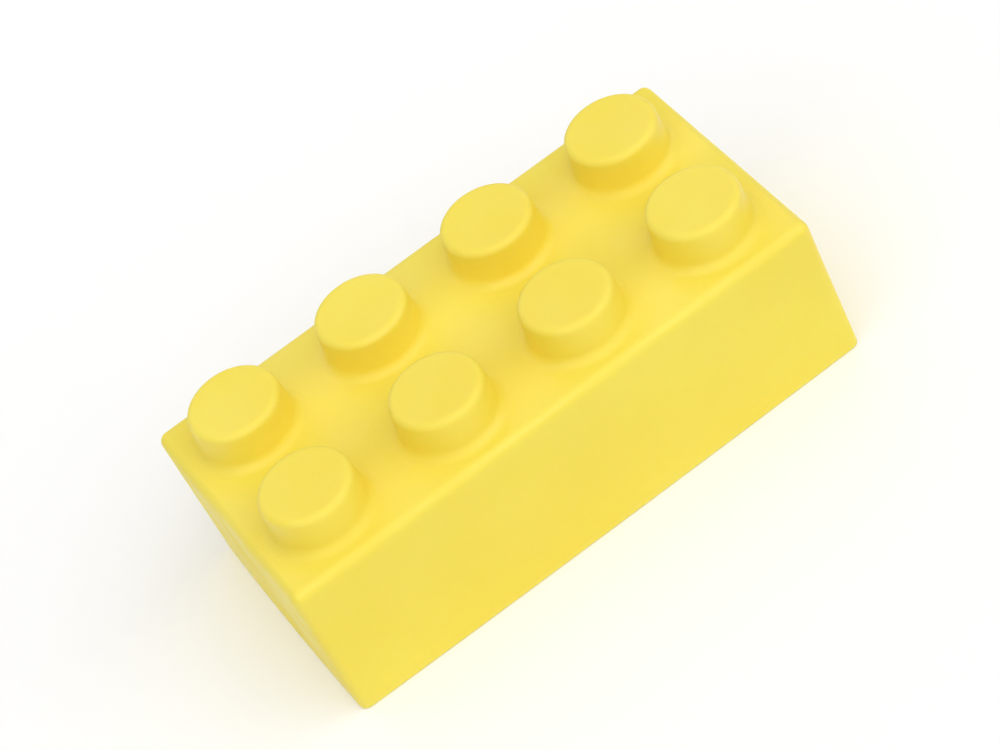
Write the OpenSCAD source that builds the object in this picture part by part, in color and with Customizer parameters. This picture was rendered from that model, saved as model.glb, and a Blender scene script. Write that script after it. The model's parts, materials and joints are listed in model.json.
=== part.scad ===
// Giant interlocking building block: two rows of studs on a hollow body that is open at the foot.
// The length runs along X, the width along Y, and the foot stands on the plane Z = 0.
// Tubes on the centre line and the ribs on the walls grip the studs of the block below.

/* [Block] */
// Distance between neighbouring studs
pitch = 50; // [46:0.5:60]
// Stud columns along the length
columns = 4; // [2:1:6]
// Gap left between two blocks that stand side by side
play = 0.5; // [0:0.1:1.5]
// Height of the body from the foot to the top face
body_h = 58.5; // [45:0.5:75]
// Thickness of the side walls
wall_t = 3; // [2:0.1:4]
// Thickness of the top
top_t = 3; // [2:0.1:5]
// Rounding of the upright edges and of the top edges
edge_r = 3.5; // [1:0.1:4.5]
// Rounding of the outer edge at the foot
foot_r = 0.8; // [0.3:0.1:1.5]

/* [Studs] */
// Diameter of a stud
stud_d = 33; // [28:0.5:35]
// Height of a stud above the top face
stud_h = 14.5; // [10:0.5:22]
// Rounding of the rim of a stud
stud_rim_r = 2.4; // [0.8:0.1:4]
// Hollow fillet where a stud grows out of the top
stud_root_r = 3.6; // [1:0.1:4.5]
// Diameter of the hollow under a stud
core_d = 18; // [10:0.5:24]
// Material left above the hollow under a stud
core_top_t = 9; // [8:0.1:12]

/* [Grip] */
// Clearance between a stud and what grips it
grip_gap = 0.1; // [0:0.05:0.4]
// Thickness of a grip rib on the walls
rib_t = 2.4; // [1.5:0.1:4]
// Height of a grip rib's lower end above the foot, clear of the stud roots of the block below
rib_lift = 4; // [3:0.1:8]

/* [Tubes] */
// Wall thickness of a grip tube
tube_t = 2; // [1.4:0.1:3]
// Height of a tube's lower end above the foot, clear of the stud roots of the block below
tube_lift = 4; // [3:0.1:8]
// Height of the lugs that seat a tube under the top
lug_h = 5; // [3:0.1:10]
// Width of a lug
lug_w = 12; // [6:0.5:16]
// Thickness of a lug
lug_t = 2.4; // [1.5:0.1:3.5]
// Clearance between a tube and its lugs
seat_gap = 0.15; // [0.05:0.05:0.4]

/* [Webs] */
// Thickness of a web
web_t = 2; // [1.2:0.1:3]
// Clearance on each side of a web in its channel
web_gap = 0.15; // [0.05:0.05:0.4]
// Gap between a web's end and what it meets
web_end_gap = 0.3; // [0.1:0.05:0.8]
// Height of the webs' lower edge above the studs of the block below
web_clear = 3; // [1:0.5:10]
// Depth of a web channel
cheek_d = 3; // [2:0.1:4]
// Thickness of each cheek of a web channel
cheek_t = 1.6; // [1:0.1:2.5]

/* [Hidden] */
$fn = 64;
rows = 2;
overrun = 1;
tubes = columns - 1;
block_l = columns * pitch - play;
block_w = rows * pitch - play;
inner_l = block_l - 2 * wall_t;
inner_w = block_w - 2 * wall_t;
ceiling_z = body_h - top_t;
web_z = stud_h + web_clear;
stud_r = stud_d / 2;
// A tube fills the space between four studs
tube_r = (sqrt(2) * pitch - stud_d) / 2 - grip_gap;
// A grip rib reaches from the wall to the side of the outermost stud
rib_reach = (pitch - play) / 2 - wall_t - stud_r - grip_gap;
channel_w = web_t + 2 * web_gap;
channel_outer_w = channel_w + 2 * cheek_t;
plastic_yellow = "#f4d83c";
inner_yellow = "#e6c62f";

// Places of the studs and of the tubes between them
function stud_x(i) = (i - (columns + 1) / 2) * pitch;
function stud_y(j) = (j - (rows + 1) / 2) * pitch;
function tube_x(i) = (i - (tubes + 1) / 2) * pitch;

// What is cut from a square corner at the origin to round it
module corner_waste(r) {
    difference() {
        translate([-overrun, -overrun]) square(r + overrun);
        translate([r, r]) circle(r);
    }
}

// Upright rectangle centred on X and standing on zero, with its lower and upper corners rounded
module rounded_outline(w, h, r_low, r_high) {
    difference() {
        translate([-w / 2, 0]) square([w, h]);
        for (side = [0, 1]) mirror([side, 0]) {
            translate([-w / 2, 0]) corner_waste(r_low);
            translate([-w / 2, h]) mirror([0, 1]) corner_waste(r_high);
        }
    }
}

// Outer form of the body, rounded on its upright edges, top edges and foot
module body_form() {
    intersection() {
        translate([0, -block_w / 2]) linear_extrude(body_h)
            rounded_outline(block_l, block_w, edge_r, edge_r);
        rotate([90, 0, 0]) linear_extrude(block_w + 2 * overrun, center = true)
            rounded_outline(block_l, body_h, foot_r, edge_r);
        rotate([90, 0, 90]) linear_extrude(block_l + 2 * overrun, center = true)
            rounded_outline(block_w, body_h, foot_r, edge_r);
    }
}

// Half section of a stud with its hollow root and round rim, sunk half the top's thickness
module stud_section() {
    difference() {
        union() {
            translate([0, -top_t / 2]) square([stud_r + stud_root_r, stud_root_r + top_t / 2]);
            square([stud_r, stud_h]);
        }
        translate([stud_r + stud_root_r, stud_root_r]) circle(stud_root_r);
        translate([stud_r, stud_h]) rotate(180) corner_waste(stud_rim_r);
    }
}

// Puts its children at every stud
module at_studs() {
    for (i = [1 : columns], j = [1 : rows]) translate([stud_x(i), stud_y(j), 0]) children();
}

// Rib that runs inwards along X from a wall face at the origin and grips a stud
module grip_rib() {
    translate([-wall_t / 2, -rib_t / 2, rib_lift])
        cube([wall_t / 2 + rib_reach, rib_t, ceiling_z - rib_lift + top_t / 2]);
}

// Two cheeks of a web channel along X, from a root inside the carrier to the channel's mouth
module channel(root, mouth, top) {
    for (side = [-1, 1])
        translate([root, side * (channel_w + cheek_t) / 2 - cheek_t / 2, web_z])
            cube([mouth - root, cheek_t, top - web_z]);
}

// Puts its children on the two long walls at one place along X, facing inwards
module on_long_walls(x) {
    for (side = [-1, 1]) translate([x, side * inner_w / 2, 0]) rotate(-side * 90) children();
}

// Puts its children on the two end walls at one place along Y, facing inwards
module on_end_walls(y) {
    for (side = [0, 1]) mirror([side, 0, 0]) translate([-inner_l / 2, y, 0]) children();
}

// Four lugs under the top that seat a tube, each between two of the tube's channels
module tube_seat() {
    for (turn = [45 : 90 : 315]) rotate(turn)
        translate([tube_r + seat_gap, -lug_w / 2, ceiling_z - lug_h])
            cube([lug_t, lug_w, lug_h + top_t / 2]);
}

// Moulded body and studs, hollow from below, with ribs, channels and tube seats inside
module outer_shell() color(plastic_yellow) {
    wall_root = -wall_t / 2;
    channel_top = ceiling_z + top_t / 2;
    difference() {
        union() {
            body_form();
            translate([0, 0, body_h]) at_studs() rotate_extrude() stud_section();
        }
        translate([-inner_l / 2, -inner_w / 2, -overrun]) cube([inner_l, inner_w, ceiling_z + overrun]);
        at_studs() translate([0, 0, ceiling_z - overrun])
            cylinder(d = core_d, h = top_t + stud_h - core_top_t + overrun);
    }
    for (i = [1 : columns]) on_long_walls(stud_x(i)) grip_rib();
    for (j = [1 : rows]) on_end_walls(stud_y(j)) grip_rib();
    for (i = [1 : tubes]) on_long_walls(tube_x(i)) channel(wall_root, cheek_d, channel_top);
    on_end_walls(0) channel(wall_root, cheek_d, channel_top);
    for (i = [1 : tubes]) translate([tube_x(i), 0, 0]) tube_seat();
}

// Tube between four studs, with four web channels on its upper part
module grip_tube(i) color(inner_yellow) translate([tube_x(i), 0, 0]) difference() {
    union() {
        translate([0, 0, tube_lift]) cylinder(r = tube_r, h = ceiling_z - tube_lift);
        for (turn = [0 : 90 : 270]) rotate(turn) channel(tube_r - tube_t, tube_r + cheek_d, ceiling_z);
    }
    translate([0, 0, tube_lift - overrun]) cylinder(r = tube_r - tube_t, h = ceiling_z - tube_lift + 2 * overrun);
}

// Web plate along X between two ends, hanging from the top to above the studs of the block below
module web_plate(from, to) {
    translate([from, -web_t / 2, web_z]) cube([to - from, web_t, ceiling_z - web_z]);
}

// Web on the centre line, left of tube number i or between the last tube and the end wall
module spine_web(i) color(inner_yellow) {
    reach = tube_r + web_end_gap;
    from = i == 1 ? -inner_l / 2 + web_end_gap : tube_x(i - 1) + reach;
    to = i == columns ? inner_l / 2 - web_end_gap : tube_x(i) - reach;
    web_plate(from, to);
}

// Web from tube number i to the front wall, side -1, or the back wall, side 1
module cross_web(i, side) color(inner_yellow) {
    translate([tube_x(i), 0, 0]) rotate(side * 90)
        web_plate(tube_r + web_end_gap, inner_w / 2 - web_end_gap);
}

outer_shell();
for (i = [1 : tubes]) grip_tube(i);
for (i = [1 : columns]) spine_web(i);
for (i = [1 : tubes]) cross_web(i, -1);
for (i = [1 : tubes]) cross_web(i, 1);
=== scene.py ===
"""Looks of a giant building block of soft yellow plastic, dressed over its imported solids.

The moulded shell, the grip tubes and the webs are remade here as smooth meshes in the solids' own
places, each in its own plastic finish, and stand on a pale floor under soft studio light.
All lengths are in metres, and the angles of lamps and camera are in degrees.
"""
import json
import logging
import math
from dataclasses import dataclass
from enum import Enum

import bmesh
import bpy
import numpy as np
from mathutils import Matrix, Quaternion, Vector


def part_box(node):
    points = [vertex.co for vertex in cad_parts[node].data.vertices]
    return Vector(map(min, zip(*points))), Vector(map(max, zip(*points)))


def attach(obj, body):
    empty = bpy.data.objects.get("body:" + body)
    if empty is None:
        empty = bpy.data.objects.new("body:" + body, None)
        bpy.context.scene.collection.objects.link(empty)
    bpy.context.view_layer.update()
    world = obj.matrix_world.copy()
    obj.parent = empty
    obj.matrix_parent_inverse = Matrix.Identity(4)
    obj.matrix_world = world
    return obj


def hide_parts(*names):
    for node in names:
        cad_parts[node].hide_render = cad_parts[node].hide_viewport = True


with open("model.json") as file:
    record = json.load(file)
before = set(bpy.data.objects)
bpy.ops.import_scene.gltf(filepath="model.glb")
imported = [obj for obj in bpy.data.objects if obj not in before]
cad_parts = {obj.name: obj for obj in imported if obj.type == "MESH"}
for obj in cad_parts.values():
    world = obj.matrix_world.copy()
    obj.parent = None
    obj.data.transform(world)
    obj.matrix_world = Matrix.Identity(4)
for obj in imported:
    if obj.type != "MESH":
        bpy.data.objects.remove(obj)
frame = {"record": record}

LOG = logging.getLogger("block")
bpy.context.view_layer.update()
BODY = "root"
WEAR = "wear"
MM_PER_METRE = 1000.0
AXIS_Z = (0.0, 0.0, 1.0)
WHITE = (1.0, 1.0, 1.0, 1.0)
Colour = tuple[float, float, float, float]
Triple = tuple[float, float, float]
Pair = tuple[float, float]
Profile = list[Pair]
Faces = list[tuple[int, ...]]


class Slot(Enum):
    """Material slots of the record."""

    SHELL = "shell_plastic"
    TUBE = "tube_plastic"
    WEB = "web_plastic"


class Graph:
    """Adds nodes to one node tree, with their settings and links."""

    def __init__(self, tree: bpy.types.NodeTree) -> None:
        """Keeps the tree that the nodes go into."""
        self.tree = tree

    @classmethod
    def blank(cls, owner: bpy.types.Material | bpy.types.World) -> "Graph":
        """Clears the nodes of a material or a world.

        Args:
            owner: what the new nodes are for.

        Returns:
            The graph of its empty tree.
        """
        owner.use_nodes = True
        owner.node_tree.nodes.clear()
        return cls(owner.node_tree)

    def add(self, kind: str, inputs: dict | None = None, **settings: object) -> bpy.types.Node:
        """Adds one node.

        Args:
            kind: Blender's name of the node's type.
            inputs: value or output socket for each input, by its name or number.
            settings: the node's own properties.

        Returns:
            The new node.
        """
        node = self.tree.nodes.new(kind)
        for name, value in settings.items():
            setattr(node, name, value)
        for key, value in (inputs or {}).items():
            if isinstance(value, bpy.types.NodeSocket):
                self.tree.links.new(value, node.inputs[key])
            else:
                node.inputs[key].default_value = value
        return node


def seen_rays(graph: Graph) -> bpy.types.NodeSocket:
    """Adds a value that is 1 for what the camera sees, also in gloss or through glass, and 0 for light.

    Args:
        graph: the graph that needs it.

    Returns:
        The value's socket.
    """
    path = graph.add("ShaderNodeLightPath")
    seen = path.outputs["Is Camera Ray"]
    for ray in ("Is Glossy Ray", "Is Transmission Ray"):
        seen = graph.add("ShaderNodeMath", {0: seen, 1: path.outputs[ray]}, operation="MAXIMUM").outputs[0]
    return seen


def link(thing: bpy.types.Object) -> None:
    """Puts an object into the scene."""
    bpy.context.scene.collection.objects.link(thing)


def quarter_turn(points: int) -> np.ndarray:
    """Gives angles spread evenly over a quarter turn, both its ends among them."""
    return np.linspace(0.0, math.pi / 2.0, points)


def mesh_from(name: str, points: np.ndarray, faces: Faces) -> bpy.types.Mesh:
    """Makes a mesh from points and faces.

    Args:
        name: the mesh's name.
        points: one row of three coordinates for each point.
        faces: the point numbers of each face.

    Returns:
        The mesh.
    """
    mesh = bpy.data.meshes.new(name)
    mesh.from_pydata(points.tolist(), [], faces)
    return mesh


def band(first: int, second: int, count: int) -> Faces:
    """Gives the faces between two closed loops of points.

    Args:
        first: number of the first point of one loop.
        second: number of the first point of the other loop.
        count: points in each loop.

    Returns:
        One four-sided face for each step along the loops.
    """
    return [(first + k, first + (k + 1) % count, second + (k + 1) % count, second + k)
            for k in range(count)]


class NodeShape:
    """A Geometry Nodes tree with named inputs that is run once to make a plain mesh."""

    SOCKETS = {
        float: "NodeSocketFloat",
        int: "NodeSocketInt",
        tuple: "NodeSocketVector",
        bpy.types.Object: "NodeSocketObject",
        bpy.types.Material: "NodeSocketMaterial",
    }
    BAR_POINTS = 8

    def __init__(self, name: str) -> None:
        """Starts an empty tree with one geometry input.

        Args:
            name: the tree's name.
        """
        self.name = name
        self.tree = bpy.data.node_groups.new(name, "GeometryNodeTree")
        self.graph = Graph(self.tree)
        self.tree.interface.new_socket("Geometry", in_out="INPUT", socket_type="NodeSocketGeometry")
        self.tree.interface.new_socket("Geometry", in_out="OUTPUT", socket_type="NodeSocketGeometry")
        self.entry = self.graph.add("NodeGroupInput")
        self.values: dict[str, object] = {}

    def base(self) -> bpy.types.NodeSocket:
        """Returns the geometry that the modifier's object brings in."""
        return self.entry.outputs["Geometry"]

    def given(self, name: str, value: object) -> bpy.types.NodeSocket:
        """Adds a named input to the tree.

        Args:
            name: what the input is called.
            value: what the modifier sets it to.

        Returns:
            The socket that carries it inside the tree.
        """
        socket = self.tree.interface.new_socket(
            name, in_out="INPUT", socket_type=self.SOCKETS[type(value)])
        self.values[socket.identifier] = value
        return self.entry.outputs[name]

    def vector(self, operation: str, first: object, second: object = None) -> bpy.types.NodeSocket:
        """Adds one step of vector arithmetic.

        Args:
            operation: Blender's name of the step.
            first: a vector, or the socket of one.
            second: the second vector or socket, where the step needs one.

        Returns:
            The result's socket.
        """
        inputs = {0: first} if second is None else {0: first, 1: second}
        return self.graph.add("ShaderNodeVectorMath", inputs, operation=operation).outputs[0]

    def bar(self, width: float, depth: float, low: float, high: float, rounding: float,
            at: Pair, label: str) -> bpy.types.NodeSocket:
        """Adds an upright bar with all its edges rounded: a small ball whose eight parts are moved apart.

        Args:
            width: size along X.
            depth: size along Y.
            low: height of the lower end.
            high: height of the upper end.
            rounding: radius of the edges.
            at: place of the bar's middle in X and Y.
            label: start of the names of the bar's inputs.

        Returns:
            The bar's geometry.
        """
        count = self.given(f"{label} points across", self.BAR_POINTS)
        cube = self.graph.add("GeometryNodeMeshCube", {
            "Vertices X": count, "Vertices Y": count, "Vertices Z": count})
        place = self.graph.add("GeometryNodeInputPosition").outputs[0]
        side = self.vector("SIGN", place)
        half_step = 0.5 / (self.BAR_POINTS - 1)
        step = self.given(f"{label} step", (half_step,) * 3)
        inner = self.vector("SUBTRACT", place, self.vector("MULTIPLY", side, step))
        ball = self.vector("MULTIPLY", self.vector("NORMALIZE", inner),
                           self.given(f"{label} rounding", (rounding,) * 3))
        core = tuple(v / 2.0 - rounding for v in (width, depth, high - low))
        apart = self.vector("MULTIPLY", side, self.given(f"{label} core", core))
        moved = self.graph.add("GeometryNodeSetPosition", {
            "Geometry": cube.outputs[0], "Position": self.vector("ADD", ball, apart),
            "Offset": self.given(f"{label} middle", (*at, (low + high) / 2.0))})
        return moved.outputs[0]

    def join(self, *parts: bpy.types.NodeSocket) -> bpy.types.NodeSocket:
        """Joins several geometries into one.

        Args:
            parts: the geometries.

        Returns:
            All of them together.
        """
        node = self.graph.add("GeometryNodeJoinGeometry")
        for part in reversed(parts):
            self.tree.links.new(part, node.inputs[0])
        return node.outputs[0]

    def unite(self, *parts: bpy.types.NodeSocket) -> bpy.types.NodeSocket:
        """Unites several closed meshes into one closed mesh.

        Args:
            parts: the closed meshes.

        Returns:
            Their union.
        """
        node = self.graph.add("GeometryNodeMeshBoolean", operation="UNION", solver="MANIFOLD")
        for part in reversed(parts):
            self.tree.links.new(part, node.inputs["Mesh 2"])
        return node.outputs[0]

    def moved(self, part: bpy.types.NodeSocket, label: str, way: Triple) -> bpy.types.NodeSocket:
        """Moves a geometry.

        Args:
            part: the geometry.
            label: name of the input that holds the way.
            way: how far it goes along each axis.

        Returns:
            The moved geometry.
        """
        return self.graph.add("GeometryNodeTransform", {
            "Geometry": part, "Translation": self.given(label, way)}).outputs[0]

    def turned(self, part: bpy.types.NodeSocket, degrees: float) -> bpy.types.NodeSocket:
        """Turns a geometry about the upright axis."""
        turn = (0.0, 0.0, math.radians(degrees))
        return self.graph.add("GeometryNodeTransform", {"Geometry": part, "Rotation": turn}).outputs[0]

    def cross(self, part: bpy.types.NodeSocket) -> bpy.types.NodeSocket:
        """Repeats a geometry at the four quarter turns about the upright axis."""
        pair = self.join(part, self.turned(part, 90.0))
        return self.join(pair, self.turned(pair, 180.0))

    def row(self, item: bpy.types.NodeSocket, label: str, count: int, start: Triple,
            step: Triple, degrees: float = 0.0) -> bpy.types.NodeSocket:
        """Repeats an item along a straight row.

        Args:
            item: the geometry to repeat.
            label: start of the names of the row's inputs.
            count: how many there are.
            start: place of the first.
            step: way from one to the next.
            degrees: turn of each about the upright axis.

        Returns:
            The row as a real mesh.
        """
        points = self.graph.add("GeometryNodeMeshLine", {
            "Count": self.given(f"{label} count", count),
            "Start Location": self.given(f"{label} start", start),
            "Offset": self.given(f"{label} step", step)})
        copies = self.graph.add("GeometryNodeInstanceOnPoints", {
            "Points": points.outputs[0], "Instance": item,
            "Rotation": (0.0, 0.0, math.radians(degrees))})
        return self.graph.add("GeometryNodeRealizeInstances", {0: copies.outputs[0]}).outputs[0]

    def make(self, result: bpy.types.NodeSocket, material: bpy.types.Material,
             start: bpy.types.Mesh | None = None) -> bpy.types.Mesh:
        """Ends the tree, runs it and returns its result as a plain mesh.

        Args:
            result: the geometry that the tree gives.
            material: the finish of the whole result.
            start: the mesh that the tree starts from, if it needs one.

        Returns:
            A mesh with no modifier.
        """
        real = self.graph.add("GeometryNodeRealizeInstances", {0: result})
        dressed = self.graph.add("GeometryNodeSetMaterial", {
            "Geometry": real.outputs[0], "Material": self.given("Finish", material)})
        self.graph.add("NodeGroupOutput", {0: dressed.outputs[0]})
        holder = bpy.data.objects.new(self.name, start or bpy.data.meshes.new(self.name))
        link(holder)
        modifier = holder.modifiers.new(self.name, "NODES")
        modifier.node_group = self.tree
        for identifier, value in self.values.items():
            modifier[identifier] = value
        seen = holder.evaluated_get(bpy.context.evaluated_depsgraph_get())
        mesh = bpy.data.meshes.new_from_object(seen)
        bpy.data.objects.remove(holder)
        return mesh


@dataclass(frozen=True)
class BlockSizes:
    """Sizes of the block that several of its pieces share."""

    half_l: float
    half_w: float
    crown_z: float
    ceiling_z: float
    web_z: float
    pitch: float
    stud_r: float
    bore_r: float
    wall_t: float = 0.003
    top_t: float = 0.003
    edge_r: float = 0.0035
    tube_t: float = 0.002

    @classmethod
    def from_frame(cls, record: dict) -> "BlockSizes":
        """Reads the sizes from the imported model.

        Args:
            record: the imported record.

        Returns:
            The sizes, in metres.
        """
        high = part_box("outer_shell")[1]
        web_low, web_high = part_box("spine_web_1")
        dims = {mount["name"]: mount["dims"] for mount in record["mounts"]}
        studs, bore = dims["inner_studs"], dims["tube_bore_1"]
        return cls(half_l=high.x, half_w=high.y, crown_z=high.z, ceiling_z=web_high.z, web_z=web_low.z,
                   pitch=studs["spacing_x_mm"] / MM_PER_METRE, stud_r=studs["stud_r_mm"] / MM_PER_METRE,
                   bore_r=bore["r_mm"] / MM_PER_METRE)

    @property
    def top_z(self) -> float:
        """Height of the top face."""
        return self.ceiling_z + self.top_t

    @property
    def columns(self) -> int:
        """Studs along the length."""
        return round(2.0 * self.half_l / self.pitch)

    @property
    def rows(self) -> int:
        """Studs along the width."""
        return round(2.0 * self.half_w / self.pitch)

    @property
    def tubes(self) -> int:
        """Tubes along the length, one between each two pairs of studs."""
        return self.columns - 1

    @property
    def flat_x(self) -> float:
        """Half the length of the flat part of the top."""
        return self.half_l - self.edge_r

    @property
    def flat_y(self) -> float:
        """Half the width of the flat part of the top."""
        return self.half_w - self.edge_r

    @property
    def inner_x(self) -> float:
        """Half the length of the hollow."""
        return self.half_l - self.wall_t

    @property
    def inner_y(self) -> float:
        """Half the width of the hollow."""
        return self.half_w - self.wall_t

    @property
    def tube_r(self) -> float:
        """Outer radius of a tube."""
        return self.bore_r + self.tube_t

    def first(self, count: int) -> float:
        """Gives the place of the first thing in a centred row with the studs' spacing."""
        return -(count - 1) / 2.0 * self.pitch


@dataclass(frozen=True)
class Pattern:
    """A noise pattern: features per metre, finer layers, and what sets it apart from the others."""

    scale: float
    detail: float
    shift: float


@dataclass(frozen=True)
class MouldedPlastic:
    """Satin moulded plastic with cloudy colour, fine grain, handling smudges and worn edges."""

    slot: Slot
    colour: Colour
    deep: Colour
    worn: Colour
    roughness: float
    seed: float
    cloud: Pattern = Pattern(16.0, 3.0, 0.0)
    smudge: Pattern = Pattern(48.0, 5.0, 3.0)
    rub: Pattern = Pattern(70.0, 4.0, 5.0)
    fleck: Pattern = Pattern(900.0, 2.0, 7.0)
    ripple: Pattern = Pattern(34.0, 1.0, 11.0)
    grain: Pattern = Pattern(1300.0, 2.0, 13.0)
    layer_share: float = 0.55
    middle_span: Pair = (0.3, 0.7)
    fleck_span: Pair = (0.66, 0.74)
    fleck_share: Pair = (0.0, 0.35)
    fleck_shade: float = 0.88
    rub_span: Pair = (0.36, 0.70)
    rub_share: Pair = (0.05, 0.45)
    rub_rough: float = 0.12
    smudge_rough: float = 0.13
    ripple_depth: float = 0.0005
    ripple_strength: float = 0.25
    grain_depth: float = 0.00006
    grain_strength: float = 0.5
    ior: float = 1.5
    bleed: float = 0.3
    bleed_depth: float = 0.005
    bleed_reach: Triple = (1.0, 0.7, 0.18)

    def noise(self, graph: Graph, place: bpy.types.NodeSocket, pattern: Pattern) -> bpy.types.NodeSocket:
        """Adds a noise pattern.

        Args:
            graph: the material's graph.
            place: coordinates that it reads.
            pattern: which pattern it is.

        Returns:
            The pattern's value.
        """
        node = graph.add("ShaderNodeTexNoise", {
            "Vector": place, "W": self.seed + pattern.shift, "Scale": pattern.scale,
            "Detail": pattern.detail, "Roughness": self.layer_share}, noise_dimensions="4D")
        return node.outputs[0]

    @staticmethod
    def span(graph: Graph, value: bpy.types.NodeSocket, source: Pair, target: Pair) -> bpy.types.NodeSocket:
        """Maps a value smoothly from one span to another.

        Args:
            graph: the material's graph.
            value: what is mapped.
            source: span that it comes in.
            target: span that it goes to.

        Returns:
            The mapped value.
        """
        node = graph.add("ShaderNodeMapRange", {
            "Value": value, "From Min": source[0], "From Max": source[1],
            "To Min": target[0], "To Max": target[1]}, interpolation_type="SMOOTHSTEP")
        return node.outputs[0]

    @staticmethod
    def blend(graph: Graph, share: bpy.types.NodeSocket, first: object,
              second: Colour) -> bpy.types.NodeSocket:
        """Mixes a second colour into a first.

        Args:
            graph: the material's graph.
            share: how much of the second colour shows.
            first: a colour, or the socket of one.
            second: the colour mixed in.

        Returns:
            The mixed colour.
        """
        node = graph.add("ShaderNodeMix", {0: share, 6: first, 7: second}, data_type="RGBA")
        return node.outputs[2]

    def build(self) -> bpy.types.Material:
        """Makes the material.

        Returns:
            The material with its nodes.
        """
        material = bpy.data.materials.new(self.slot.value)
        graph = Graph.blank(material)
        place = graph.add("ShaderNodeTexCoord").outputs["Object"]
        wear = graph.add("ShaderNodeAttribute", attribute_name=WEAR).outputs["Fac"]
        cloud = self.span(graph, self.noise(graph, place, self.cloud), self.middle_span, (0.0, 1.0))
        fleck = self.span(graph, self.noise(graph, place, self.fleck), self.fleck_span, self.fleck_share)
        rub = self.span(graph, self.noise(graph, place, self.rub), self.rub_span, self.rub_share)
        rubbed = graph.add("ShaderNodeMath", {0: wear, 1: rub}, operation="MULTIPLY").outputs[0]
        speck = (*(self.fleck_shade * v for v in self.deep[:3]), 1.0)
        colour = self.blend(graph, cloud, self.colour, self.deep)
        colour = self.blend(graph, fleck, colour, speck)
        colour = self.blend(graph, rubbed, colour, self.worn)
        rough = self.span(graph, self.noise(graph, place, self.smudge), self.middle_span,
                          (self.roughness - self.smudge_rough, self.roughness + self.smudge_rough))
        rough = graph.add("ShaderNodeMath", {0: rubbed, 1: self.rub_rough, 2: rough},
                          operation="MULTIPLY_ADD").outputs[0]
        ripple = graph.add("ShaderNodeBump", {
            "Height": self.noise(graph, place, self.ripple),
            "Strength": self.ripple_strength, "Distance": self.ripple_depth})
        grain = graph.add("ShaderNodeBump", {
            "Height": self.noise(graph, place, self.grain), "Normal": ripple.outputs[0],
            "Strength": self.grain_strength, "Distance": self.grain_depth})
        shader = graph.add("ShaderNodeBsdfPrincipled", {
            "Base Color": colour, "Roughness": rough, "Normal": grain.outputs[0], "IOR": self.ior,
            "Subsurface Weight": self.bleed, "Subsurface Radius": self.bleed_reach,
            "Subsurface Scale": self.bleed_depth})
        graph.add("ShaderNodeOutputMaterial", {"Surface": shader.outputs[0]})
        return material


@dataclass(frozen=True)
class FloorPaper:
    """Matt white studio paper, open from below so that the underside can be looked at."""

    name: str = "floor_paper"
    colour: Colour = (0.97, 0.97, 0.97, 1.0)
    shade: Colour = (0.95, 0.95, 0.95, 1.0)
    fibre_scale: float = 120.0
    fibre_detail: float = 4.0
    lift: float = 0.06

    def build(self) -> bpy.types.Material:
        """Makes the material, a little whiter for what the camera sees than for the light it throws back.

        Returns:
            The material with its nodes.
        """
        material = bpy.data.materials.new(self.name)
        graph = Graph.blank(material)
        place = graph.add("ShaderNodeTexCoord").outputs["Object"]
        fibre = graph.add("ShaderNodeTexNoise", {
            "Vector": place, "Scale": self.fibre_scale, "Detail": self.fibre_detail})
        colour = graph.add("ShaderNodeMix", {0: fibre.outputs[0], 6: self.colour, 7: self.shade},
                           data_type="RGBA")
        paper = graph.add("ShaderNodeBsdfDiffuse", {"Color": colour.outputs[2]})
        glow = graph.add("ShaderNodeEmission", {"Color": WHITE, "Strength": self.lift})
        lit = graph.add("ShaderNodeAddShader", {0: paper.outputs[0], 1: glow.outputs[0]})
        sheet = graph.add("ShaderNodeMixShader", {
            0: seen_rays(graph), 1: paper.outputs[0], 2: lit.outputs[0]})
        clear = graph.add("ShaderNodeBsdfTransparent")
        under = graph.add("ShaderNodeNewGeometry").outputs["Backfacing"]
        mix = graph.add("ShaderNodeMixShader", {0: under, 1: sheet.outputs[0], 2: clear.outputs[0]})
        graph.add("ShaderNodeOutputMaterial", {"Surface": mix.outputs[0]})
        return material


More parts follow.
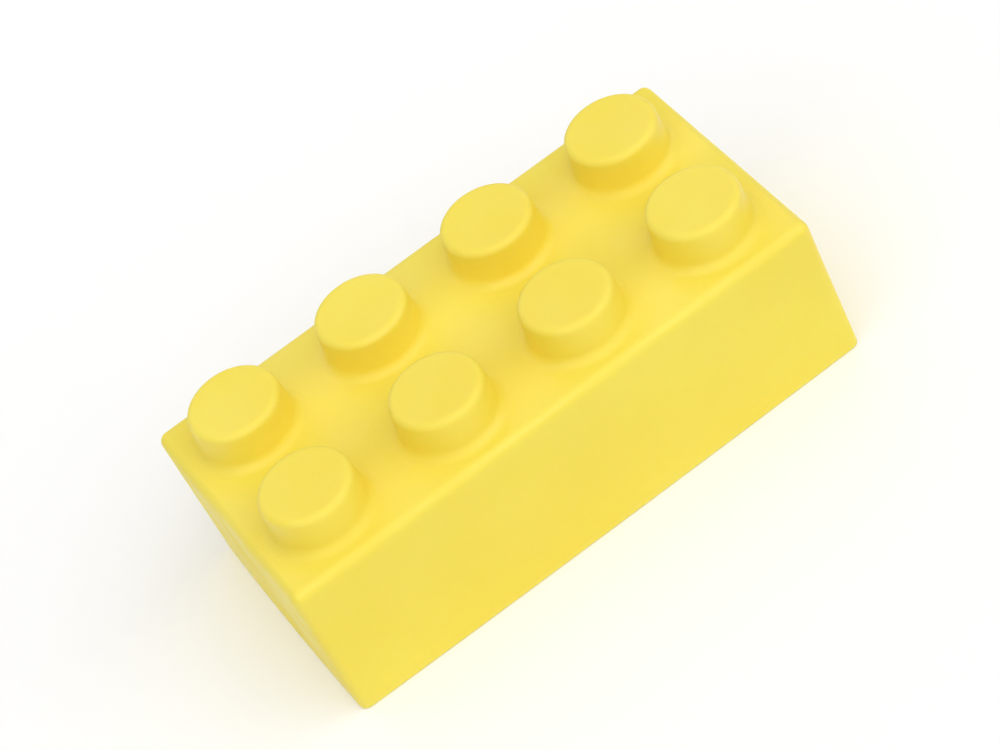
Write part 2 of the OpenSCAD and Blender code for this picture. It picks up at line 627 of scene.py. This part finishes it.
class Piece:
    """Common steps that put a finished mesh into the scene as one piece of the block."""

    MERGE_DISTANCE = 1e-6
    SLIVER = 1e-7
    SHARP_ANGLE = math.radians(14.0)
    FADE_CUTS = (1.0, 2.5)

    @classmethod
    def clean(cls, mesh: bpy.types.Mesh, cuts: tuple[float, ...] = ()) -> None:
        """Merges doubled points, turns the faces outwards and smooths the shading.

        Args:
            mesh: the mesh to clean.
            cuts: heights at which its faces are divided, so that wear can end there.
        """
        work = bmesh.new()
        work.from_mesh(mesh)
        bmesh.ops.remove_doubles(work, verts=work.verts, dist=cls.MERGE_DISTANCE)
        bmesh.ops.dissolve_degenerate(work, edges=work.edges, dist=cls.SLIVER)
        for z in cuts:
            whole = work.verts[:] + work.edges[:] + work.faces[:]
            bmesh.ops.bisect_plane(work, geom=whole, dist=cls.SLIVER,
                                   plane_co=(0.0, 0.0, z), plane_no=AXIS_Z)
        bmesh.ops.recalc_face_normals(work, faces=work.faces)
        work.to_mesh(mesh)
        work.free()
        mesh.shade_smooth()
        mesh.set_sharp_from_angle(angle=cls.SHARP_ANGLE)

    @staticmethod
    def store_wear(mesh: bpy.types.Mesh, values: np.ndarray) -> None:
        """Stores the wear of each point on a mesh, as a share from 0 to 1."""
        attribute = mesh.attributes.new(WEAR, "FLOAT", "POINT")
        attribute.data.foreach_set("value", values.astype(np.float32))

    @classmethod
    def wear_foot(cls, mesh: bpy.types.Mesh, low: float, width: float) -> None:
        """Cleans a mesh and stores wear that fades upwards from its lower end.

        Args:
            mesh: the piece's mesh.
            low: height of its lower end.
            width: height over which the wear fades.
        """
        cls.clean(mesh, tuple(low + share * width for share in cls.FADE_CUTS))
        height = np.array([v.co.z for v in mesh.vertices]) - low
        cls.store_wear(mesh, np.exp(-(height / width) ** 2))

    @staticmethod
    def place(name: str, mesh: bpy.types.Mesh, node: str, slot: Slot) -> None:
        """Puts a mesh in the scene in the stead of a solid.

        Args:
            name: the piece's name.
            mesh: its mesh.
            node: the solid that it stands for.
            slot: the record's slot of its finish; not used.
        """
        piece = bpy.data.objects.new(name, mesh)
        link(piece)
        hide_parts(node)
        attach(piece, BODY)
        LOG.info("%s stands for %s: %d faces", name, node, len(mesh.polygons))


@dataclass(frozen=True)
class Channel:
    """Two upright cheeks that hold the end of a web between them."""

    width: float = 0.0023
    depth: float = 0.003
    cheek_t: float = 0.0016
    fillet: float = 0.0004

    def add(self, shape: NodeShape, root: float, mouth: float, low: float,
            high: float) -> bpy.types.NodeSocket:
        """Adds the two cheeks, which run along X.

        Args:
            shape: the tree that they are part of.
            root: where they start, inside what carries them.
            mouth: where they end.
            low: height of their lower ends.
            high: height of their upper ends.

        Returns:
            The geometry of both.
        """
        middle = (root + mouth) / 2.0
        apart = (self.width + self.cheek_t) / 2.0
        cheeks = [shape.bar(mouth - root, self.cheek_t, low, high, self.fillet, (middle, y), label)
                  for y, label in ((-apart, "Left cheek"), (apart, "Right cheek"))]
        return shape.join(*cheeks)


@dataclass
class Shell:
    """The moulded body with its studs, hollow from below, with ribs, channels and tube seats."""

    sizes: BlockSizes
    finish: MouldedPlastic
    channel: Channel = Channel()
    foot_r: float = 0.0008
    lip: float = 0.0003
    fillet: float = 0.0004
    stud_rim_r: float = 0.0024
    stud_root_r: float = 0.0036
    stud_taper: float = 0.0005
    stud_sink: float = 0.00015
    core_r: float = 0.009
    core_top_t: float = 0.009
    core_round: float = 0.001
    rib_t: float = 0.0024
    rib_reach: float = 0.00515
    rib_lift: float = 0.004
    lug_h: float = 0.005
    lug_w: float = 0.012
    lug_t: float = 0.0024
    lug_gap: float = 0.00015
    bow: float = 0.0006
    draft: float = 0.0003
    cell_steps: int = 24
    corner_points: int = 9
    edge_points: int = 10
    foot_points: int = 8
    wall_points: int = 15
    hollow_points: int = 10
    crown_rings: tuple[float, ...] = (0.0, 0.3, 0.6, 0.85, 0.95, 1.0)
    rim_points: int = 9
    side_rings: tuple[float, ...] = (0.25, 0.5, 0.75, 1.0)
    root_points: int = 11
    core_points: int = 8
    weld: float = 1e-5
    wear_width: float = 0.0016
    edge_wear: float = 1.5
    rim_depth: float = 0.3

    def cell_marks(self) -> np.ndarray:
        """Gives where the spokes of a stud's cell meet a side of the cell, as shares of half its width."""
        eighth = math.pi / 4.0
        return np.tan(np.linspace(-eighth, eighth, self.cell_steps + 1))

    def side_marks(self, count: int, limit: float) -> np.ndarray:
        """Gives the places of the points along one side of the top.

        Args:
            count: studs along that side.
            limit: half the length of its straight part.

        Returns:
            The places, from low to high.
        """
        half = self.sizes.pitch / 2.0
        middles = (np.arange(count) - (count - 1) / 2.0) * self.sizes.pitch
        marks = (middles[:, None] + half * self.cell_marks()[None, :]).ravel()
        return np.unique(np.round(np.clip(marks, -limit, limit), 9))

    def loop(self, offset: float, z: float) -> np.ndarray:
        """Gives a loop of points round the block.

        Args:
            offset: distance outside the flat part of the top, which also rounds the corners.
            z: height of the loop.

        Returns:
            The points, counterclockwise from the front left.
        """
        size = self.sizes
        xs = self.side_marks(size.columns, size.flat_x)
        ys = self.side_marks(size.rows, size.flat_y)
        turn = quarter_turn(self.corner_points)[1:-1]
        parts = []
        for quarter, (marks, across) in enumerate(((xs, size.flat_y), (ys, size.flat_x)) * 2):
            start = quarter * math.pi / 2.0 - math.pi / 2.0
            out = np.array((math.cos(start), math.sin(start)))
            along = np.array((-out[1], out[0]))
            parts.append(marks[:, None] * along + (across + offset) * out)
            corner = marks[-1] * along + across * out
            arc = np.stack((np.cos(start + turn), np.sin(start + turn)), axis=1)
            parts.append(corner + offset * arc)
        flat = np.concatenate(parts)
        return np.column_stack((flat, np.full(len(flat), z)))

    def wall_levels(self) -> Profile:
        """Lists the loops of the walls' skin.

        Returns:
            The offset and height of each loop, from the top over the foot to the ceiling.
        """
        size = self.sizes
        edge, foot = size.edge_r, self.foot_r
        inner = edge - size.wall_t
        levels = []
        for a in quarter_turn(self.edge_points):
            levels.append((edge * math.sin(a), size.top_z - edge + edge * math.cos(a)))
        for z in np.linspace(size.top_z - edge, foot, self.wall_points)[1:]:
            levels.append((edge, float(z)))
        for a in quarter_turn(self.foot_points)[1:]:
            levels.append((edge - foot * (1.0 - math.cos(a)), foot * (1.0 - math.sin(a))))
        levels += [(inner + self.lip, 0.0), (inner, self.lip)]
        for z in np.linspace(self.lip, size.ceiling_z, self.hollow_points)[1:]:
            levels.append((inner, float(z)))
        levels.append((0.0, size.ceiling_z))
        return levels

    def pillow(self, points: np.ndarray) -> np.ndarray:
        """Draws the outside in a little towards the corners of the foot and towards the top.

        Args:
            points: points of the outside, between the top and the foot.

        Returns:
            The moved points, none of them further out than before.
        """
        size = self.sizes
        moved = points.copy()
        rise = np.clip(points[:, 2] / size.top_z, 0.0, 1.0)
        for axis, half, flat in ((0, size.half_l, size.flat_x), (1, size.half_w, size.flat_y)):
            other_half = size.half_w if axis == 0 else size.half_l
            away = np.clip(np.abs(points[:, 1 - axis]) / other_half, 0.0, 1.0)
            inset = self.draft * rise + self.bow * (1.0 - rise) * away ** 2
            share = np.clip((np.abs(points[:, axis]) - flat) / (half - flat), 0.0, 1.0)
            moved[:, axis] -= np.sign(points[:, axis]) * share * inset
        return moved

    def foot_outline(self, inset: float) -> np.ndarray:
        """Gives a loop of points on the foot.

        Args:
            inset: how far inside the outer face of the walls it runs.

        Returns:
            The points, at the height of the foot.
        """
        return self.pillow(self.loop(self.sizes.edge_r - inset, 0.0))

    def wall_skin(self) -> bpy.types.Mesh:
        """Makes the skin of the walls, from the edge of the top over the foot to the ceiling.

        Returns:
            The skin, open at the top face and at the ceiling.
        """
        inner = self.sizes.edge_r - self.sizes.wall_t
        loops = []
        faces: Faces = []
        outside = True
        for number, (offset, z) in enumerate(self.wall_levels()):
            points = self.loop(offset, z)
            outside = outside and offset != inner
            loops.append(self.pillow(points) if outside else points)
            if number:
                faces += band((number - 1) * len(points), number * len(points), len(points))
        return mesh_from("wall_skin", np.concatenate(loops), faces)

    def cell(self, name: str, profile: Profile) -> bpy.types.Object:
        """Spins a profile about a stud's axis and carries its last ring out to the cell's square.

        Args:
            name: name of the cell.
            profile: radius and height of each ring from the middle outwards, the first on the axis.

        Returns:
            An object that is not in the scene.
        """
        half = self.sizes.pitch / 2.0
        spokes = 4 * self.cell_steps
        to_corner = 1.0 / 8.0
        angles = (np.arange(spokes) / spokes - to_corner) * 2.0 * math.pi
        rays = np.stack((np.cos(angles), np.sin(angles)), axis=1)
        square = rays * half / np.abs(rays).max(axis=1)[:, None]
        points = [np.array(((0.0, 0.0, profile[0][1]),))]
        for radius, z in profile[1:]:
            points.append(np.column_stack((rays * radius, np.full(spokes, z))))
        points.append(np.column_stack((square, np.full(spokes, profile[-1][1]))))
        faces: Faces = [(0, 1 + k, 1 + (k + 1) % spokes) for k in range(spokes)]
        for ring in range(len(profile) - 1):
            faces += band(1 + ring * spokes, 1 + (ring + 1) * spokes, spokes)
        return bpy.data.objects.new(name, mesh_from(name, np.concatenate(points), faces))

    def stud_profile(self) -> Profile:
        """Draws the half section of a stud.

        Returns:
            The radius of each ring and its height above the top face, from the middle outwards.
        """
        size = self.sizes
        height = size.crown_z - size.top_z
        rim, root = self.stud_rim_r, self.stud_root_r
        flat = size.stud_r - self.stud_taper - rim
        rings = [(flat * s, height - self.stud_sink * (1.0 - s * s)) for s in self.crown_rings]
        for a in quarter_turn(self.rim_points)[1:]:
            rings.append((flat + rim * math.sin(a), height - rim + rim * math.cos(a)))
        low = (size.stud_r, root)
        high = rings[-1]
        for s in self.side_rings:
            rings.append((high[0] + s * (low[0] - high[0]), high[1] + s * (low[1] - high[1])))
        for a in quarter_turn(self.root_points)[1:]:
            rings.append((size.stud_r + root * (1.0 - math.cos(a)), root * (1.0 - math.sin(a))))
        rings.append((size.stud_r + root + self.foot_r, 0.0))
        return rings

    def core_profile(self) -> Profile:
        """Draws the half section of the hollow under a stud.

        Returns:
            The radius of each ring and its height above the ceiling, from the middle outwards.
        """
        depth = self.sizes.crown_z - self.core_top_t - self.sizes.ceiling_z
        soft = self.core_round
        rings = [(0.0, depth), (self.core_r / 2.0, depth)]
        for a in quarter_turn(self.core_points):
            rings.append((self.core_r - soft + soft * math.sin(a), depth - soft + soft * math.cos(a)))
        for a in quarter_turn(self.core_points):
            rings.append((self.core_r + soft * (1.0 - math.cos(a)), soft * (1.0 - math.sin(a))))
        return rings

    def skin(self, material: bpy.types.Material) -> bpy.types.Mesh:
        """Joins the walls with a cell for each stud and for each hollow under a stud.

        Args:
            material: the shell's finish.

        Returns:
            The closed skin of the shell, with no ribs or channels.
        """
        size = self.sizes
        shape = NodeShape("shell_skin")
        studs = self.cell("stud_cell", self.stud_profile())
        cores = self.cell("core_cell", self.core_profile())
        grid = shape.graph.add("GeometryNodeMeshGrid", {
            "Size X": shape.given("Studs span X", (size.columns - 1) * size.pitch),
            "Size Y": shape.given("Studs span Y", (size.rows - 1) * size.pitch),
            "Vertices X": shape.given("Columns", size.columns),
            "Vertices Y": shape.given("Rows", size.rows)})
        no_limit_z = 1.0
        limit = (size.flat_x, size.flat_y, no_limit_z)
        high = shape.given("Flat limit high", limit)
        low = shape.given("Flat limit low", tuple(-v for v in limit))
        fields = []
        for label, item, z in (("Stud", studs, size.top_z), ("Core", cores, size.ceiling_z)):
            cell = shape.graph.add("GeometryNodeObjectInfo", {"Object": shape.given(f"{label} cell", item)})
            copies = shape.graph.add("GeometryNodeInstanceOnPoints", {
                "Points": grid.outputs[0], "Instance": cell.outputs["Geometry"]})
            real = shape.graph.add("GeometryNodeRealizeInstances", {0: copies.outputs[0]})
            lifted = shape.moved(real.outputs[0], f"{label} lift", (0.0, 0.0, z))
            place = shape.graph.add("GeometryNodeInputPosition").outputs[0]
            inside = shape.vector("MAXIMUM", shape.vector("MINIMUM", place, high), low)
            trimmed = shape.graph.add("GeometryNodeSetPosition", {"Geometry": lifted, "Position": inside})
            fields.append(trimmed.outputs[0])
        whole = shape.join(shape.base(), *fields)
        merged = shape.graph.add("GeometryNodeMergeByDistance", {
            "Geometry": whole, "Distance": shape.given("Weld", self.weld)})
        mesh = shape.make(merged.outputs[0], material, self.wall_skin())
        for cell in (studs, cores):
            bpy.data.objects.remove(cell)
        return mesh

    def fitted(self, skin: bpy.types.Mesh, material: bpy.types.Material) -> bpy.types.Mesh:
        """Unites the skin with the grip ribs, the web channels and the tube seats.

        Args:
            skin: the closed skin of the shell.
            material: the shell's finish.

        Returns:
            The shell's whole mesh.
        """
        size = self.sizes
        shape = NodeShape("shell_fittings")
        root = size.wall_t / 2.0
        high = size.ceiling_z + size.top_t / 2.0
        along_x = (size.pitch, 0.0, 0.0)
        along_y = (0.0, size.pitch, 0.0)
        rib = shape.bar(self.rib_reach + root, self.rib_t, self.rib_lift, high, self.fillet,
                        ((self.rib_reach - root) / 2.0, 0.0), "Rib")
        channel = self.channel.add(shape, -root, self.channel.depth, size.web_z, high)
        rows = []
        for label, item, long_count, end_count in (
                ("Rib", rib, size.columns, size.rows),
                ("Channel", channel, size.columns - 1, size.rows - 1)):
            front = shape.row(item, f"{label} front", long_count,
                              (size.first(long_count), -size.inner_y, 0.0), along_x, 90.0)
            left = shape.row(item, f"{label} left", end_count,
                             (-size.inner_x, size.first(end_count), 0.0), along_y)
            both = shape.join(front, left)
            rows.append(shape.join(both, shape.turned(both, 180.0)))
        reach = size.tube_r + self.lug_gap + self.lug_t / 2.0
        lug = shape.bar(self.lug_t, self.lug_w, size.ceiling_z - self.lug_h, high, self.fillet,
                        (reach, 0.0), "Lug")
        seat = shape.cross(shape.turned(lug, 45.0))
        rows.append(shape.row(seat, "Seat", size.tubes, (size.first(size.tubes), 0.0, 0.0), along_x))
        return shape.make(shape.unite(shape.base(), *rows), material, skin)

    def mark_wear(self, mesh: bpy.types.Mesh) -> None:
        """Stores how much each point is rubbed: the outer edges, the foot and the rims of the studs.

        Args:
            mesh: the shell's mesh.
        """
        size = self.sizes
        points = np.empty(len(mesh.vertices) * 3)
        mesh.vertices.foreach_get("co", points)
        x, y, z = points.reshape(-1, 3).T
        from_end = size.half_l - np.abs(x)
        from_side = size.half_w - np.abs(y)
        nearest = np.sort(np.stack((from_end, from_side, size.top_z - z), axis=1), axis=1)
        corner = np.abs(nearest[:, 0]) + np.abs(nearest[:, 1])
        on_body = z <= size.top_z + self.weld
        edges = np.exp(-(corner / (self.edge_wear * self.wear_width)) ** 2) * on_body
        on_foot = np.minimum(from_end, from_side) < size.wall_t / 2.0
        foot = np.exp(-(z / self.wear_width) ** 2) * on_foot
        pitch = size.pitch
        local_x = np.mod(x + size.columns / 2.0 * pitch, pitch) - pitch / 2.0
        local_y = np.mod(y + size.rows / 2.0 * pitch, pitch) - pitch / 2.0
        sunk = self.rim_depth * self.stud_rim_r
        from_rim = np.hypot(np.hypot(local_x, local_y) - size.stud_r + sunk, z - size.crown_z + sunk)
        rims = np.exp(-(from_rim / self.wear_width) ** 2)
        Piece.store_wear(mesh, np.maximum.reduce((edges, foot, rims)))

    def build(self) -> None:
        """Makes the shell and puts it in the scene."""
        material = self.finish.build()
        skin = self.skin(material)
        Piece.clean(skin)
        mesh = self.fitted(skin, material)
        Piece.clean(mesh)
        self.mark_wear(mesh)
        Piece.place("shell_moulding", mesh, "outer_shell", self.finish.slot)


@dataclass
class GripTube:
    """The tubes that each grip four studs of the block below, with web channels on their upper part."""

    sizes: BlockSizes
    finish: MouldedPlastic
    channel: Channel = Channel()
    lip: float = 0.0004
    lip_points: int = 4
    wear_width: float = 0.0015
    segments: int = 96

    def mesh(self, node: str, material: bpy.types.Material) -> bpy.types.Mesh:
        """Makes one tube.

        Args:
            node: the solid whose place it takes.
            material: its finish.

        Returns:
            The tube's mesh.
        """
        low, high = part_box(node)
        size = self.sizes
        shape = NodeShape(node)
        middle_r = size.bore_r + size.tube_t / 2.0
        path = shape.graph.add("GeometryNodeCurvePrimitiveCircle", {
            "Resolution": shape.given("Segments", self.segments),
            "Radius": shape.given("Middle radius", middle_r)}, mode="RADIUS")
        outline = shape.graph.add("GeometryNodeCurvePrimitiveQuadrilateral", {
            "Width": shape.given("Wall", size.tube_t), "Height": shape.given("Height", high.z - low.z)})
        rounded = shape.graph.add("GeometryNodeFilletCurve", {
            "Curve": outline.outputs[0], "Count": self.lip_points,
            "Radius": shape.given("Lip", self.lip)}, mode="POLY")
        ring = shape.graph.add("GeometryNodeCurveToMesh", {
            "Curve": path.outputs[0], "Profile Curve": rounded.outputs[0]})
        lifted = shape.moved(ring.outputs[0], "Lift", (0.0, 0.0, (high.z + low.z) / 2.0))
        mouth = size.tube_r + self.channel.depth
        channels = shape.cross(self.channel.add(shape, middle_r, mouth, size.web_z, high.z))
        whole = shape.unite(lifted, channels)
        mesh = shape.make(shape.moved(whole, "Place", ((low.x + high.x) / 2.0, 0.0, 0.0)), material)
        Piece.wear_foot(mesh, low.z, self.wear_width)
        return mesh

    def build(self) -> None:
        """Makes every tube and puts it in the scene."""
        material = self.finish.build()
        for number in range(1, self.sizes.tubes + 1):
            node = f"grip_tube_{number}"
            Piece.place(f"tube_moulding_{number}", self.mesh(node, material), node, self.finish.slot)


@dataclass
class Webs:
    """The upright plates that stiffen the walls and hold the tubes."""

    sizes: BlockSizes
    finish: MouldedPlastic
    fillet: float = 0.0003
    wear_width: float = 0.001

    def mesh(self, node: str, material: bpy.types.Material) -> bpy.types.Mesh:
        """Makes one plate.

        Args:
            node: the solid whose place it takes.
            material: its finish.

        Returns:
            The plate's mesh.
        """
        low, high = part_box(node)
        shape = NodeShape(node)
        middle = ((low.x + high.x) / 2.0, (low.y + high.y) / 2.0)
        plate = shape.bar(high.x - low.x, high.y - low.y, low.z, high.z, self.fillet, middle, "Plate")
        mesh = shape.make(plate, material)
        Piece.wear_foot(mesh, low.z, self.wear_width)
        return mesh

    def build(self) -> None:
        """Makes every plate and puts it in the scene."""
        material = self.finish.build()
        rows = (("spine_web", self.sizes.columns), ("cross_web_front", self.sizes.tubes),
                ("cross_web_back", self.sizes.tubes))
        for row, count in rows:
            for number in range(1, count + 1):
                node = f"{row}_{number}"
                Piece.place(node.replace("web", "plate"), self.mesh(node, material), node, self.finish.slot)


@dataclass(frozen=True)
class SoftBox:
    """A large soft lamp, far from the block."""

    name: str
    strength: float
    azimuth: float
    elevation: float
    spread: float


@dataclass
class Studio:
    """Floor, light and camera."""

    shell: Shell
    floor_half: float = 6.0
    floor_drop: float = 0.0002
    hole_inset: float = 0.0012
    azimuth: float = -10.9
    elevation: float = 43.5
    roll: float = 28.7
    distance: float = 1.193
    lens: float = 134.0
    sensor: float = 36.0
    backdrop: float = 1.0
    ambient: float = 0.24
    boxes: tuple[SoftBox, ...] = (
        SoftBox("left_box", 1.16, -45.0, 50.0, 70.0),
        SoftBox("right_box", 1.40, 45.0, 45.0, 70.0),
        SoftBox("back_box", 0.60, 180.0, 52.0, 70.0),
        SoftBox("under_box", 1.4, 0.0, -90.0, 120.0),
    )

    @staticmethod
    def toward(azimuth: float, elevation: float) -> Vector:
        """Gives the direction from the block to a place round it.

        Args:
            azimuth: degrees from the front towards the right end.
            elevation: degrees above the floor.

        Returns:
            The direction, of length one.
        """
        a, e = math.radians(azimuth), math.radians(elevation)
        return Vector((math.sin(a) * math.cos(e), -math.cos(a) * math.cos(e), math.sin(e)))

    def floor(self) -> None:
        """Lays the floor, with a hole under the block that lets light reach its underside."""
        inner = self.shell.foot_outline(self.hole_inset)
        outer = inner * self.floor_half / np.abs(inner).max(axis=1)[:, None]
        points = np.concatenate((outer, inner)) - (0.0, 0.0, self.floor_drop)
        mesh = mesh_from("floor", points, band(0, len(inner), len(inner)))
        mesh.materials.append(FloorPaper().build())
        floor = bpy.data.objects.new("floor", mesh)
        link(floor)

    def world(self) -> None:
        """Surrounds the scene with white, which lights the block at a lower level than it shows."""
        world = bpy.data.worlds.new("studio_white")
        graph = Graph.blank(world)
        shown = graph.add("ShaderNodeBackground", {"Color": WHITE, "Strength": self.backdrop})
        fill = graph.add("ShaderNodeBackground", {"Color": WHITE, "Strength": self.ambient})
        mix = graph.add("ShaderNodeMixShader", {
            0: seen_rays(graph), 1: fill.outputs[0], 2: shown.outputs[0]})
        graph.add("ShaderNodeOutputWorld", {"Surface": mix.outputs[0]})
        bpy.context.scene.world = world

    def lamps(self) -> None:
        """Hangs the soft boxes."""
        for box in self.boxes:
            lamp = bpy.data.lights.new(box.name, "SUN")
            lamp.energy = box.strength
            lamp.angle = math.radians(box.spread)
            holder = bpy.data.objects.new(box.name, lamp)
            holder.rotation_mode = "QUATERNION"
            aim = -self.toward(box.azimuth, box.elevation)
            holder.rotation_quaternion = aim.to_track_quat("-Z", "Y")
            link(holder)

    def camera(self) -> None:
        """Sets the camera at the photograph's viewing angle, rolled about its own axis as there."""
        data = bpy.data.cameras.new("camera")
        data.sensor_width = self.sensor
        data.lens = self.lens
        holder = bpy.data.objects.new("camera", data)
        back = self.toward(self.azimuth, self.elevation)
        middle = Vector((0.0, 0.0, self.shell.sizes.crown_z / 2.0))
        holder.location = middle + back * self.distance
        holder.rotation_mode = "QUATERNION"
        lean = Quaternion(AXIS_Z, -math.radians(self.roll))
        holder.rotation_quaternion = (-back).to_track_quat("-Z", "Y") @ lean
        link(holder)
        bpy.context.scene.camera = holder

    def build(self) -> None:
        """Sets up the whole studio."""
        bpy.context.scene.view_settings.view_transform = "Standard"
        self.floor()
        self.world()
        self.lamps()
        self.camera()


def main() -> None:
    """Builds the block's pieces in order and the studio round them."""
    logging.basicConfig(level=logging.INFO, format="%(message)s")
    sizes = BlockSizes.from_frame(frame["record"])
    shell_plastic = MouldedPlastic(
        Slot.SHELL, colour=(0.912, 0.75, 0.085, 1.0), deep=(0.892, 0.712, 0.069, 1.0),
        worn=(0.925, 0.775, 0.135, 1.0), roughness=0.5, seed=1.7)
    tube_plastic = MouldedPlastic(
        Slot.TUBE, colour=(0.903, 0.735, 0.082, 1.0), deep=(0.88, 0.695, 0.067, 1.0),
        worn=(0.92, 0.765, 0.13, 1.0), roughness=0.52, seed=4.1)
    web_plastic = MouldedPlastic(
        Slot.WEB, colour=(0.903, 0.735, 0.082, 1.0), deep=(0.878, 0.69, 0.066, 1.0),
        worn=(0.92, 0.765, 0.13, 1.0), roughness=0.54, seed=8.3)
    shell = Shell(sizes, shell_plastic)
    shell.build()
    GripTube(sizes, tube_plastic).build()
    Webs(sizes, web_plastic).build()
    Studio(shell).build()


if __name__ == "__main__":
    main()
